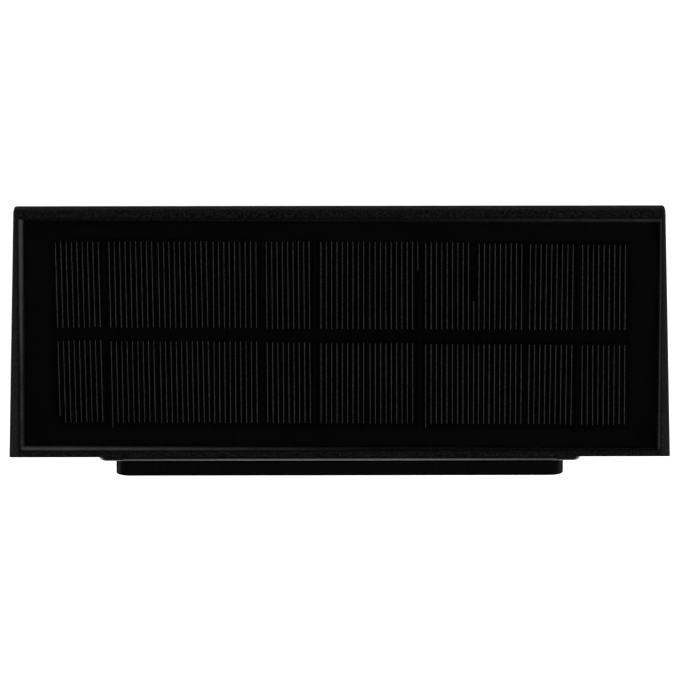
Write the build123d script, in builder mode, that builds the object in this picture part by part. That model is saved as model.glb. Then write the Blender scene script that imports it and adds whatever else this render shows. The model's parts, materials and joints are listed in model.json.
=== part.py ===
from build123d import *
import os
from math import atan2, cos, hypot, radians, sin, tan

# Solar fence light, in millimetres. It hangs on a wall bracket by two headed lugs.
# Origin: centre of the bracket's wall face. +Y goes into the wall, the lamp's front faces -Y, +Z is up.

# Wall bracket
bracket_width = 125.8
bracket_height = 42.0
bracket_thickness = 4.1
bracket_corner = 4.0
bracket_edge = 0.5
core_depth = 2.2  # hollows in the bracket's wall side
core_rim = 3.0
core_columns = 6
core_rows = 2
wall_screw_spacing = 104.0
wall_screw_radius = 2.3
wall_screw_head_radius = 4.3
wall_screw_boss = 6.5

# Lugs on the bracket, and the keyhole channels that take them
lug_spacing = 76.0
lug_height = 8.0
lug_centre_z = 6.0
neck_width = 7.0
head_width = 13.0
head_thickness = 2.0
lug_gap = 0.3  # sideways and in depth
hang_gap = 0.1  # above the neck, where the lamp hangs
lift_travel = 11.0
lip_thickness = 2.4
channel_wall = 1.6
insert_flange = 1.5  # welded to the inside of the cover
insert_flange_thickness = 1.0
insert_edge = 0.3

# Housing
front_width = 181.7
side_draft = 1.8  # each side stands this much further out at the back
top_length = 69.8
top_slope = 6.0
back_height = 56.0
lip_height = 5.0
underside_depth = 22.0
wall = 2.0
edge_radius = 0.8
heel_radius = 5.0
top_above_bracket = 2.0
slide_gap = 0.25  # between the bracket and the raised pad

# Recess for the solar panel
back_rim = 1.5
front_rim = 2.3
side_rim = 0.95
recess_depth = 2.8
recess_corner = 0.8
floor_thickness = 1.6
lead_hole_radius = 3.0
lead_hole_x = 40.0
lead_hole_inset = 12.5  # from the recess's back edge

# Solar panel: board, cells, ribbon and clear laminate, laid slightly askew in its sealant
panel_side_gap = 1.35
panel_end_gap = 1.2
panel_shift = -0.45
panel_turn = -0.35
panel_corner = 0.6
sealant_bed = 0.3
sealant_border = 8.0
sealant_drop = 0.35  # the bead stays this far below the laminate
board_thickness = 1.0
laminate_thickness = 0.9
cell_count = 11
cell_gap = 0.52
cell_side_margin = 7.85
cell_end_margin = 5.3
cell_thickness = 0.25
wafer_corner = 3.0
ribbon_width = 3.2
ribbon_thickness = 0.1

# Back cover
cover_thickness = 2.2
cover_gap = 0.25
pad_width = 135.0
pad_height = 46.0
pad_thickness = 1.6
pad_corner = 2.5
pad_edge = 0.9
rib_radius = 0.45  # a bead along the top of the pad
rib_end_inset = 6.8
rib_offset = 0.55
pad_below_top = 1.0
seal_thickness = 1.0
seal_width = 2.4
ledge_depth = 2.4
cover_screw_inset = 6.4
boss_radius = 3.0
boss_length = 14.0
boss_web = 1.8
middle_boss_x = 50.0

# Lens and light engine
window_side_margin = 12.85
window_heel_margin = 10.0
window_toe_margin = 12.49
window_corner = 5.0
lens_gap = 0.3
lens_proud = 0.6
lens_flange = 5.0
lens_flange_thickness = 1.4
lens_thickness = 1.8
lens_flutes = 25
lens_flute_depth = 0.5
gasket_thickness = 0.8
reflector_depth = 9.0
reflector_wall = 1.2
reflector_end_taper = 3.0
reflector_side_taper = 10.5
reflector_ear_radius = 2.7
reflector_ear_inset = 5.0  # from the window's long edges
led_count = 8
led_end_margin = 12.0
led_width = 3.5
led_length = 2.8
led_thickness = 0.7
led_dish_share = 0.8  # of the LED's face, filled with phosphor
led_dish_depth = 0.14
led_dish_corner = 0.56
led_window_gap = 0.8
led_board_margin = 1.0
led_board_length = 12.0
led_board_thickness = 1.6
led_board_screw_inset = 7.0
led_pad_x = 30.0

# Screws
screw_shank_radius = 1.3
screw_head_radius = 2.7
screw_head_thickness = 1.4
screw_length = 9.0
small_screw_shank_radius = 0.9
small_screw_head_radius = 1.9
small_screw_head_thickness = 1.2
small_screw_length = 4.2
screw_head_edge = 0.4
thread_gap = 0.05
hole_gap = 0.2
cross_width = 0.7
cross_depth = 0.8

# Battery
battery_radius = 9.2
battery_length = 65.0
battery_edge = 0.46
battery_from_cover = 15.3
battery_share = 0.25  # of the free height, left over the cell
terminal_radius = 3.6
terminal_height = 1.2
tab_thickness = 0.3
tab_width = 6.0
tab_height = 9.0
tab_corner = 1.5
cradle_gap = 2.6  # beside the hangers
cradle_thickness = 1.6
cradle_clip_wall = 1.7
cradle_clip_width = 7.0
cradle_clip_count = 3
cradle_mouth = 14.0
cradle_base_height = 20.0
cradle_screw_x = 11.5
battery_gap = 0.05

# Main board and its parts
main_width = 62.0
main_length = 15.0
main_thickness = 1.6
main_height = 6.2  # above the floor of the housing
post_radius = 2.6
post_x = 27.5
chip_width = 5.0
chip_length = 4.0
chip_height = 1.5
chip_x = 6.0
package_edge = 0.4  # broken edges of the parts on the board
inductor_width = 6.6
inductor_height = 3.0
inductor_corner = 1.3
inductor_x = 15.5
capacitor_radius = 3.0
capacitor_height = 6.0
capacitor_x = -8.0
socket_width = 5.9
socket_length = 4.5
socket_height = 5.5
socket_pitch = 2.0
panel_socket_x = 21.5
battery_socket_x = -2.0
led_socket_x = -21.0

# Push button and switch
button_radius = 5.0
button_proud = 1.4
button_edge = 0.6
button_bore_gap = 0.08
button_flange = 1.4
button_flange_thickness = 1.0
button_travel = 0.8
seal_washer_gap = 0.3
seal_washer_thickness = 0.8
switch_width = 6.0
switch_height = 3.5
plunger_radius = 1.6
plunger_bore_gap = 0.1
plunger_grip = 1.6

# Leads
lead_radius = 0.65
lead_drop = 8.0  # straight run out of the panel, and beside the battery socket
lead_out = 3.0
lead_rise = 4.5
lead_clear = 5.5  # how far the LED leads pass in front of the battery
lead_high_share = 0.54  # of the space under the battery, where the panel's and LEDs' leads cross
lead_low_share = 0.21  # and where the battery's own pair runs
bend_share = 0.45  # of the shorter run at each bend

# Places worked out from the sizes above
slope = radians(top_slope)
back_y = -(bracket_thickness + slide_gap + pad_thickness)
top_z = bracket_height / 2 + top_above_bracket
bottom_z = top_z - back_height
front_y = back_y - top_length * cos(slope)
front_z = top_z - top_length * sin(slope)
back_width = front_width + 2 * side_draft
draft = side_draft / (back_y - front_y)
heel = (back_y - underside_depth, bottom_z)
toe = (front_y, front_z - lip_height)
slant = atan2(toe[1] - heel[1], heel[0] - toe[0])
slant_length = hypot(toe[1] - heel[1], heel[0] - toe[0])
recess_width = front_width - 2 * side_rim
recess_length = top_length - back_rim - front_rim
panel_width = recess_width - 2 * panel_side_gap
panel_length = recess_length - 2 * panel_end_gap
cell_pitch = (panel_width - 2 * cell_side_margin + cell_gap) / cell_count
cell_width = cell_pitch - cell_gap
cell_length = panel_length - 2 * cell_end_margin
window_width = front_width - 2 * window_side_margin
window_length = slant_length - window_heel_margin - window_toe_margin
window_centre = window_heel_margin + window_length / 2  # up the slanted face from its heel
reflector_base_width = window_width - 2 * reflector_end_taper
reflector_base_length = window_length - 2 * reflector_side_taper
reflector_ear_offset = window_length / 2 - reflector_ear_inset
led_board_width = reflector_base_width - 2 * led_board_margin
led_board_screw_x = led_board_width / 2 - led_board_screw_inset
led_pitch = (reflector_base_width - 2 * led_end_margin) / (led_count - 1)
top_plane = Plane(origin=(0, back_y, top_z), x_dir=(1, 0, 0), z_dir=(0, -sin(slope), cos(slope)))
slant_plane = Plane(origin=(0, *heel), x_dir=(1, 0, 0), z_dir=(0, -sin(slant), -cos(slant)))
floor_depth = recess_depth + floor_thickness
cover_y = back_y - cover_thickness
ledge_y = cover_y - seal_thickness
floor_z = bottom_z + wall


def half_width(y, inset=0.0):
    """Half the housing's width at y, less an inset."""
    return back_width / 2 - (back_y - y) * draft - inset


def under_top(y, depth):
    """Height of the plane that lies this deep under the sloping top."""
    return top_z + (y - back_y) * tan(slope) - depth / cos(slope)


def over_slant(y, depth):
    """Height of the plane that lies this deep inside the slanted underside."""
    return heel[1] + (heel[0] - y) * tan(slant) + depth / cos(slant)


def bend_radii(points):
    """The radius of each bend of a route, from the shorter of the two runs that meet there."""
    radii = []
    for before, corner, after in zip(points, points[1:], points[2:]):
        run_in = Vector(*corner) - Vector(*before)
        run_out = Vector(*after) - Vector(*corner)
        turn = radians(run_in.get_angle(run_out))
        radii.append(bend_share * min(run_in.length, run_out.length) / tan(turn / 2))
    return radii


recess_v = -(back_rim + recess_length / 2)
lead_hole_v = -(back_rim + lead_hole_inset)
battery_y = cover_y - battery_from_cover
socket_top = floor_z + main_height + main_thickness + socket_height
free_height = under_top(battery_y, floor_depth) - socket_top - 2 * battery_radius
battery_z = socket_top + (1 - battery_share) * free_height + battery_radius
panel_plane = Plane(
    origin=top_plane.from_local_coords((panel_shift, recess_v, -recess_depth)),
    x_dir=top_plane.x_dir.rotate(Axis((0, 0, 0), top_plane.z_dir), panel_turn),
    z_dir=top_plane.z_dir,
)

# Wall bracket: a cored plate with two headed lugs and two countersunk screw holes
front_plane = Plane.XZ.offset(bracket_thickness)  # faces -Y
lug_places = [(-lug_spacing / 2, lug_centre_z), (lug_spacing / 2, lug_centre_z)]
screw_places = [(-wall_screw_spacing / 2, 0), (wall_screw_spacing / 2, 0)]
neck_length = slide_gap + lip_thickness + lug_gap
core_width = (bracket_width - core_rim) / core_columns - core_rim
core_height = (bracket_height - core_rim) / core_rows - core_rim

with BuildPart() as wall_bracket:
    with BuildSketch(Plane.XZ):
        RectangleRounded(bracket_width, bracket_height, bracket_corner)
    extrude(amount=bracket_thickness)
    fillet(wall_bracket.faces().sort_by(Axis.Y)[0].edges(), bracket_edge)
    with BuildSketch(Plane.XZ):
        with GridLocations(core_width + core_rim, core_height + core_rim, core_columns, core_rows):
            Rectangle(core_width, core_height)
        with Locations(*screw_places):
            Circle(wall_screw_boss, mode=Mode.SUBTRACT)
    extrude(amount=core_depth, mode=Mode.SUBTRACT)
    with BuildSketch(front_plane):
        with Locations(*lug_places):
            Rectangle(neck_width, lug_height)
    extrude(amount=neck_length)
    with BuildSketch(front_plane.offset(neck_length)):
        with Locations(*lug_places):
            Rectangle(head_width, lug_height)
    extrude(amount=head_thickness)
    head_edges = wall_bracket.faces().sort_by(Axis.Y)[:2].edges()
    chamfer(head_edges, bracket_edge)
    with Locations(front_plane):
        with Locations(*screw_places):
            CounterSinkHole(wall_screw_radius, wall_screw_head_radius, depth=bracket_thickness)
wall_bracket.part.label = "wall_bracket"

# Inside of the housing: the outer wedge drawn in by the walls, open to the back
nose_y = front_y + 2 * wall + edge_radius
slant_foot = heel[0] + (over_slant(heel[0], wall) - floor_z) / tan(slant)
boss_inset = cover_screw_inset + wall
seal_top = under_top(cover_y, floor_depth)

with BuildPart() as cavity:
    with BuildSketch(Plane.YZ):
        with BuildLine():
            Polyline(
                (back_y + wall, under_top(back_y + wall, floor_depth)),
                (back_y + wall, floor_z),
                (slant_foot, floor_z),
                (nose_y, over_slant(nose_y, wall)),
                (nose_y, under_top(nose_y, floor_depth)),
                close=True,
            )
        make_face()
    extrude(amount=back_width, both=True)
    with BuildSketch(Plane.XY.offset(bottom_z)):
        with BuildLine():
            Polyline(
                (-half_width(back_y + wall, wall), back_y + wall),
                (half_width(back_y + wall, wall), back_y + wall),
                (half_width(nose_y, wall), nose_y),
                (-half_width(nose_y, wall), nose_y),
                close=True,
            )
        make_face()
    extrude(amount=back_height, mode=Mode.INTERSECT)

# Housing: a moulded wedge with a sunk panel seat, a lens window, screw bosses and board posts
corner_x = half_width(ledge_y, boss_inset)
boss_top_z = seal_top - boss_inset
boss_bottom_z = floor_z + cover_screw_inset
cover_screw_places = [
    (-corner_x, boss_top_z),
    (corner_x, boss_top_z),
    (-corner_x, boss_bottom_z),
    (corner_x, boss_bottom_z),
    (-middle_boss_x, boss_bottom_z),
    (middle_boss_x, boss_bottom_z),
]
web_length = cover_screw_inset + wall / 2
side_webs = [(x * (1 + web_length / 2 / corner_x), z) for x, z in cover_screw_places[:4]]
floor_webs = [(x, (z + floor_z) / 2) for x, z in cover_screw_places[4:]]
main_y = cover_y - ledge_depth - seal_thickness - main_length / 2 - hole_gap
post_places = [(-post_x, main_y), (post_x, main_y)]
button_y = main_y
lens_half_width = window_width / 2 + lens_flange
ear_x = lens_half_width + reflector_ear_radius + lens_gap
ear_places = [
    (side * ear_x, window_centre + end * reflector_ear_offset) for side in (-1, 1) for end in (-1, 1)
]
ear_depth = wall + gasket_thickness + lens_flange_thickness

with BuildPart() as housing:
    with BuildSketch(Plane.YZ):
        with BuildLine():
            Polyline((back_y, top_z), (back_y, bottom_z), heel, toe, (front_y, front_z), close=True)
        make_face()
    extrude(amount=back_width, both=True)
    with BuildSketch(Plane.XY.offset(bottom_z)):
        with BuildLine():
            Polyline(
                (-half_width(back_y), back_y),
                (half_width(back_y), back_y),
                (half_width(front_y), front_y),
                (-half_width(front_y), front_y),
                close=True,
            )
        make_face()
    extrude(amount=back_height, mode=Mode.INTERSECT)
    heel_edge = housing.edges().filter_by(Axis.X).sort_by(Axis.Z)[:2].sort_by(Axis.Y)[0]
    fillet(heel_edge, heel_radius)
    outer_edges = housing.edges().filter_by(lambda edge: edge.center().Y < back_y - edge_radius)
    fillet(outer_edges, edge_radius)
    add(cavity.part, mode=Mode.SUBTRACT)
    with BuildSketch(Plane.XZ.offset(-ledge_y)):
        with BuildLine():
            Polyline(
                (-half_width(ledge_y, wall / 2), floor_z - wall / 2),
                (half_width(ledge_y, wall / 2), floor_z - wall / 2),
                (half_width(ledge_y, wall / 2), seal_top + floor_thickness / 2),
                (-half_width(ledge_y, wall / 2), seal_top + floor_thickness / 2),
                close=True,
            )
        make_face()
        offset(amount=-(seal_width + wall / 2 + cover_gap), kind=Kind.INTERSECTION, mode=Mode.SUBTRACT)
    extrude(amount=ledge_depth)
    with BuildSketch(Plane.XZ.offset(-ledge_y)):
        with Locations(*cover_screw_places):
            Circle(boss_radius)
        with Locations(*side_webs):
            Rectangle(web_length, boss_web)
        with Locations(*floor_webs):
            Rectangle(boss_web, cover_screw_inset)
    extrude(amount=boss_length)
    with BuildSketch(Plane.XZ.offset(-ledge_y)):
        with Locations(*cover_screw_places):
            Circle(screw_shank_radius + thread_gap)
    extrude(amount=boss_length - wall, mode=Mode.SUBTRACT)
    with BuildSketch(top_plane):
        with Locations((0, recess_v)):
            RectangleRounded(recess_width, recess_length, recess_corner)
    extrude(amount=-recess_depth, mode=Mode.SUBTRACT)
    with BuildSketch(top_plane):
        with Locations((lead_hole_x, lead_hole_v)):
            Circle(lead_hole_radius)
    extrude(amount=-2 * floor_depth, mode=Mode.SUBTRACT)
    with BuildSketch(slant_plane):
        with Locations((0, window_centre)):
            RectangleRounded(window_width, window_length, window_corner)
    extrude(amount=-wall - edge_radius, mode=Mode.SUBTRACT)
    with BuildSketch(slant_plane.offset(-wall / 2)):
        with Locations(*ear_places):
            Circle(reflector_ear_radius)
    extrude(amount=-(ear_depth - wall / 2))
    with BuildSketch(slant_plane.offset(-ear_depth)):
        with Locations(*ear_places):
            Circle(small_screw_shank_radius + thread_gap)
    extrude(amount=ear_depth - wall / 2, mode=Mode.SUBTRACT)
    with BuildSketch(Plane.XY.offset(floor_z - wall / 2)):
        with Locations(*post_places):
            Circle(post_radius)
    extrude(amount=main_height + wall / 2)
    with BuildSketch(Plane.XY.offset(floor_z + main_height)):
        with Locations(*post_places):
            Circle(small_screw_shank_radius + thread_gap)
    extrude(amount=-main_height, mode=Mode.SUBTRACT)
    with BuildSketch(Plane.XY.offset(bottom_z)):
        with Locations((0, button_y)):
            Circle(button_radius + button_bore_gap)
    extrude(amount=wall, mode=Mode.SUBTRACT)
housing.part.label = "housing"

# Back cover: an inset plate with the raised pad, windows for the hangers and six screw holes
cover_top = seal_top - cover_gap
cover_bottom = floor_z + cover_gap
cover_half = half_width(cover_y, wall + cover_gap)
pad_top = top_z - pad_below_top
pad_y = back_y + pad_thickness
channel_half = head_width / 2 + lug_gap
channel_depth = lip_thickness + lug_gap + head_thickness + lug_gap
slot_top = lug_centre_z + lug_height / 2 + hang_gap
entry_top = lug_centre_z - lift_travel + lug_height / 2 + hang_gap
entry_bottom = entry_top - lug_height - 2 * lug_gap
channel_centre = (slot_top + entry_bottom) / 2
channel_height = slot_top - entry_bottom
lug_xs = [(-lug_spacing / 2, channel_centre), (lug_spacing / 2, channel_centre)]
insert_half = channel_half + channel_wall
insert_height = channel_height + 2 * channel_wall

with BuildPart() as back_cover:
    with BuildSketch(Plane.XZ.offset(-back_y)):
        with Locations((0, (cover_top + cover_bottom) / 2)):
            Rectangle(2 * cover_half, cover_top - cover_bottom)
    extrude(amount=cover_thickness)
    with BuildSketch(Plane.XZ.offset(-back_y)):
        with Locations((0, pad_top - pad_height / 2)):
            RectangleRounded(pad_width, pad_height, pad_corner)
    extrude(amount=-pad_thickness)
    fillet(back_cover.faces().sort_by(Axis.Y)[-1].edges(), pad_edge)
    with BuildSketch(Plane.YZ):
        with Locations((back_y + rib_offset, pad_top)):
            Circle(rib_radius)
    extrude(amount=pad_width / 2 - rib_end_inset, both=True)
    with BuildSketch(Plane.XZ.offset(-pad_y)):
        with Locations(*lug_xs):
            Rectangle(2 * insert_half, insert_height)
    extrude(amount=pad_thickness + cover_thickness, mode=Mode.SUBTRACT)
    with BuildSketch(Plane.XZ.offset(-back_y)):
        with Locations(*cover_screw_places):
            Circle(screw_shank_radius + hole_gap)
    extrude(amount=cover_thickness, mode=Mode.SUBTRACT)
    with BuildSketch(Plane.XZ.offset(-back_y)):
        with Locations(*cover_screw_places):
            Circle(screw_head_radius + hole_gap)
    extrude(amount=screw_head_thickness, mode=Mode.SUBTRACT)
    with BuildSketch(Plane.XZ.offset(-cover_y)):
        with Locations((-cradle_screw_x, battery_z), (cradle_screw_x, battery_z)):
            Circle(small_screw_shank_radius + thread_gap)
    extrude(amount=-(cover_thickness + pad_thickness / 2), mode=Mode.SUBTRACT)
back_cover.part.label = "back_cover"

with BuildPart() as cover_seal:
    with BuildSketch(Plane.XZ.offset(-cover_y)):
        with Locations((0, (cover_top + cover_bottom) / 2)):
            Rectangle(2 * (cover_half - cover_gap), cover_top - cover_bottom - 2 * cover_gap)
        offset(amount=-seal_width, kind=Kind.INTERSECTION, mode=Mode.SUBTRACT)
    extrude(amount=seal_thickness)
cover_seal.part.label = "cover_seal"

export = [wall_bracket, housing, back_cover, cover_seal]

# Hangers: keyhole boxes welded into the cover's windows; the bracket's lugs drop into them
for name, lug_x in (("left", lug_spacing / 2), ("right", -lug_spacing / 2)):
    with BuildPart() as hanger:
        with BuildSketch(Plane.XZ.offset(-pad_y)):
            with Locations((lug_x, channel_centre)):
                Rectangle(2 * insert_half, insert_height)
        extrude(amount=channel_depth + channel_wall)
        chamfer(hanger.faces().sort_by(Axis.Y)[-1].edges(), insert_edge)
        with BuildSketch(Plane.XZ.offset(-cover_y)):
            with Locations((lug_x, channel_centre)):
                Rectangle(2 * (insert_half + insert_flange), insert_height + 2 * insert_flange)
        extrude(amount=insert_flange_thickness)
        with BuildSketch(Plane.XZ.offset(-pad_y + lip_thickness)):
            with Locations((lug_x, channel_centre)):
                Rectangle(2 * channel_half, channel_height)
        extrude(amount=channel_depth - lip_thickness, mode=Mode.SUBTRACT)
        with BuildSketch(Plane.XZ.offset(-pad_y)):
            with Locations((lug_x, channel_centre)):
                Rectangle(neck_width + 2 * lug_gap, channel_height)
            with Locations((lug_x, (entry_top + entry_bottom) / 2)):
                Rectangle(2 * channel_half, entry_top - entry_bottom)
        extrude(amount=lip_thickness, mode=Mode.SUBTRACT)
    hanger.part.label = f"hanger_{name}"
    export.append(hanger)


def make_screws(plane, places, head_radius, head_thickness, shank_radius, length):
    """Pan-head screws whose heads stand on the plane; the shanks go the other way."""
    with BuildPart() as screws:
        with BuildSketch(plane):
            with Locations(*places):
                Circle(head_radius)
        extrude(amount=head_thickness)
        head_tops = screws.faces().filter_by(Axis(plane.origin, plane.z_dir)).group_by(
            Axis(plane.origin, plane.z_dir)
        )[-1]
        fillet(head_tops.edges(), screw_head_edge)
        with BuildSketch(plane):
            with Locations(*places):
                Circle(shank_radius)
        extrude(amount=-length)
        with BuildSketch(plane.offset(head_thickness)):
            with Locations(*places):
                Rectangle(head_radius, cross_width)
                Rectangle(cross_width, head_radius)
        extrude(amount=-cross_depth, mode=Mode.SUBTRACT)
    return screws


cover_screws = make_screws(
    Plane(origin=(0, back_y - screw_head_thickness, 0), x_dir=(-1, 0, 0), z_dir=(0, 1, 0)),
    [(-x, z) for x, z in cover_screw_places],
    screw_head_radius,
    screw_head_thickness,
    screw_shank_radius,
    screw_length,
)
cover_screws.part.label = "cover_screws"
export.append(cover_screws)

# Solar panel, from the sealant up
board_plane = panel_plane.offset(sealant_bed)
cell_plane = board_plane.offset(board_thickness)
first_cell_x = -(cell_count - 1) / 2 * cell_pitch
cell_places = [first_cell_x + index * cell_pitch for index in range(cell_count)]
bead_height = sealant_bed + board_thickness + laminate_thickness - sealant_drop

with BuildPart() as panel_glue:
    with BuildSketch(top_plane.offset(-recess_depth)):
        with Locations((0, recess_v)):
            RectangleRounded(recess_width, recess_length, recess_corner)
    extrude(amount=bead_height)
    with BuildSketch(board_plane):
        RectangleRounded(panel_width, panel_length, panel_corner)
    extrude(amount=bead_height, mode=Mode.SUBTRACT)
    with BuildSketch(panel_plane):
        Rectangle(panel_width - 2 * sealant_border, panel_length - 2 * sealant_border)
    extrude(amount=sealant_bed, mode=Mode.SUBTRACT)
panel_glue.part.label = "panel_glue"

with BuildPart() as solar_backsheet:
    with BuildSketch(board_plane):
        RectangleRounded(panel_width, panel_length, panel_corner)
    extrude(amount=board_thickness)
solar_backsheet.part.label = "solar_backsheet"

with BuildPart() as solar_laminate:
    with BuildSketch(cell_plane):
        RectangleRounded(panel_width, panel_length, panel_corner)
    extrude(amount=laminate_thickness)
    with BuildSketch(cell_plane):
        with GridLocations(cell_pitch, 0, cell_count, 1):
            Rectangle(cell_width, cell_length)
    extrude(amount=cell_thickness, mode=Mode.SUBTRACT)
    with BuildSketch(cell_plane):
        Rectangle(cell_places[-1] - cell_places[0] + cell_width, ribbon_width)
    extrude(amount=cell_thickness + ribbon_thickness, mode=Mode.SUBTRACT)
solar_laminate.part.label = "solar_laminate"

with BuildPart() as cell_busbar:
    with BuildSketch(cell_plane.offset(cell_thickness)):
        Rectangle(cell_places[-1] - cell_places[0] + cell_width, ribbon_width)
    extrude(amount=ribbon_thickness)
cell_busbar.part.label = "cell_busbar"
export += [panel_glue, solar_backsheet, solar_laminate, cell_busbar]

for index, cell_x in enumerate(reversed(cell_places)):
    with BuildPart() as solar_cell:
        with BuildSketch(cell_plane):
            with Locations((cell_x, 0)):
                Rectangle(cell_width, cell_length)
        extrude(amount=cell_thickness)
        if index == 0:  # cut from the end of a wafer, so one corner is clipped
            upright = solar_cell.edges().filter_by(Axis((0, 0, 0), cell_plane.z_dir))
            chamfer(upright.sort_by(Axis.X)[-2:].sort_by(Axis.Y)[-1], wafer_corner)
    solar_cell.part.label = f"solar_cell_{index + 1:02d}"
    export.append(solar_cell)

# Lens: a fluted plate that fills the window from inside, with a flange behind it
flange_plane = slant_plane.offset(-(wall + gasket_thickness))
back_plane = flange_plane.offset(-lens_flange_thickness)
lens_height = lens_flange_thickness + gasket_thickness + wall + lens_proud
lens_rim = lens_gap + lens_thickness
flute_pitch = (window_length - 2 * window_corner) / lens_flutes

with BuildPart() as lens_gasket:
    with BuildSketch(flange_plane):
        with Locations((0, window_centre)):
            RectangleRounded(2 * lens_half_width, window_length + 2 * lens_flange, window_corner)
            RectangleRounded(window_width, window_length, window_corner, mode=Mode.SUBTRACT)
    extrude(amount=gasket_thickness)
lens_gasket.part.label = "lens_gasket"

with BuildPart() as diffuser:
    with BuildSketch(back_plane):
        with Locations((0, window_centre)):
            RectangleRounded(2 * lens_half_width, window_length + 2 * lens_flange, window_corner)
    extrude(amount=lens_flange_thickness)
    with BuildSketch(flange_plane):
        with Locations((0, window_centre)):
            RectangleRounded(
                window_width - 2 * lens_gap, window_length - 2 * lens_gap, window_corner - lens_gap
            )
    extrude(amount=gasket_thickness + wall + lens_proud)
    outer_face = diffuser.faces().sort_by(Axis(slant_plane.origin, slant_plane.z_dir))[-1]
    fillet(outer_face.edges(), lens_proud)
    with BuildSketch(back_plane):
        with Locations((0, window_centre)):
            RectangleRounded(
                window_width - 2 * lens_rim, window_length - 2 * lens_rim, window_corner - lens_rim
            )
    extrude(amount=lens_height - lens_thickness, mode=Mode.SUBTRACT)
    with BuildSketch(back_plane.offset(lens_height - lens_thickness)):
        with Locations((0, window_centre)):
            with GridLocations(0, flute_pitch, 1, lens_flutes):
                Rectangle(window_width - 2 * window_corner, flute_pitch / 2)
    extrude(amount=lens_flute_depth, mode=Mode.SUBTRACT)
diffuser.part.label = "diffuser"

# Reflector: a tapered white pan whose flange clamps the lens; its floor has a hole for each LED
pan_plane = back_plane.offset(-reflector_depth)
led_board_plane = pan_plane.offset(-reflector_wall)
led_places = [(index - (led_count - 1) / 2) * led_pitch for index in range(led_count)]
board_screw_places = [(-led_board_screw_x, window_centre), (led_board_screw_x, window_centre)]

with BuildPart() as reflector:
    with BuildSketch(back_plane):
        with Locations((0, window_centre)):
            RectangleRounded(2 * lens_half_width, window_length + 2 * lens_flange, window_corner)
    extrude(amount=-reflector_wall)
    with BuildSketch(back_plane):
        with Locations(*ear_places):
            Circle(reflector_ear_radius)
        with Locations(*[(x * (1 - reflector_ear_radius / 2 / ear_x), z) for x, z in ear_places]):
            Rectangle(2 * reflector_ear_radius, 2 * reflector_ear_radius)
    extrude(amount=-reflector_wall)
    with BuildSketch(back_plane):
        with Locations((0, window_centre)):
            Rectangle(window_width + 2 * reflector_wall, window_length + 2 * reflector_wall)
    with BuildSketch(led_board_plane):
        with Locations((0, window_centre)):
            Rectangle(
                reflector_base_width + 2 * reflector_wall, reflector_base_length + 2 * reflector_wall
            )
    loft()
    with BuildSketch(back_plane):
        with Locations((0, window_centre)):
            Rectangle(window_width, window_length)
    with BuildSketch(pan_plane):
        with Locations((0, window_centre)):
            Rectangle(reflector_base_width, reflector_base_length)
    loft(mode=Mode.SUBTRACT)
    with BuildSketch(led_board_plane):
        with Locations(*[(x, window_centre) for x in led_places]):
            Rectangle(led_width + 2 * led_window_gap, led_length + 2 * led_window_gap)
        with Locations(*board_screw_places):
            Circle(small_screw_shank_radius + thread_gap)
    extrude(amount=reflector_wall, mode=Mode.SUBTRACT)
    with BuildSketch(back_plane):
        with Locations(*ear_places):
            Circle(small_screw_shank_radius + hole_gap)
    extrude(amount=-reflector_wall, mode=Mode.SUBTRACT)
reflector.part.label = "reflector"

reflector_screws = make_screws(
    Plane(
        origin=back_plane.offset(-reflector_wall).origin,
        x_dir=(-1, 0, 0),
        z_dir=-slant_plane.z_dir,
    ),
    [(-x, v) for x, v in ear_places],
    small_screw_head_radius,
    small_screw_head_thickness,
    small_screw_shank_radius,
    small_screw_length,
)
reflector_screws.part.label = "reflector_screws"

with BuildPart() as led_board:
    with BuildSketch(led_board_plane):
        with Locations((0, window_centre)):
            Rectangle(led_board_width, led_board_length)
        with Locations(*board_screw_places):
            Circle(small_screw_shank_radius + hole_gap, mode=Mode.SUBTRACT)
    extrude(amount=-led_board_thickness)
led_board.part.label = "led_board"

led_board_screws = make_screws(
    Plane(
        origin=led_board_plane.offset(-led_board_thickness).origin,
        x_dir=(-1, 0, 0),
        z_dir=-slant_plane.z_dir,
    ),
    [(-x, v) for x, v in board_screw_places],
    small_screw_head_radius,
    small_screw_head_thickness,
    small_screw_shank_radius,
    led_board_thickness + reflector_wall,
)
led_board_screws.part.label = "led_board_screws"
export += [lens_gasket, diffuser, reflector, reflector_screws, led_board, led_board_screws]

for index, led_x in enumerate(led_places):
    with BuildPart() as led:
        with BuildSketch(led_board_plane):
            with Locations((led_x, window_centre)):
                Rectangle(led_width, led_length)
        extrude(amount=led_thickness)
        with BuildSketch(led_board_plane.offset(led_thickness)):
            with Locations((led_x, window_centre)):
                RectangleRounded(led_dish_share * led_width, led_dish_share * led_length, led_dish_corner)
        extrude(amount=-led_dish_depth, mode=Mode.SUBTRACT)
    led.part.label = f"led_{index + 1}"
    export.append(led)

# Battery in its clip-in cradle on the cover, over the main board
battery_end = Plane(origin=(-battery_length / 2, battery_y, battery_z), x_dir=(0, 1, 0), z_dir=(1, 0, 0))
shell_length = battery_length - terminal_height

with BuildPart() as battery_cell:
    with BuildSketch(battery_end):
        Circle(battery_radius)
    extrude(amount=shell_length)
    fillet(battery_cell.edges(), battery_edge)
    with BuildSketch(battery_end.offset(shell_length)):
        Circle(terminal_radius)
    extrude(amount=terminal_height)
battery_cell.part.label = "battery_cell"

cradle_length = lug_spacing - 2 * (insert_half + cradle_gap)
clip_pitch = (cradle_length - cradle_clip_width) / (cradle_clip_count - 1)
cradle_ring = battery_radius + battery_gap
cradle_end = Plane(origin=(0, battery_y, battery_z), x_dir=(0, 1, 0), z_dir=(1, 0, 0))
cradle_reach = battery_y - cover_y  # the base, seen from the cell's axis

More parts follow.
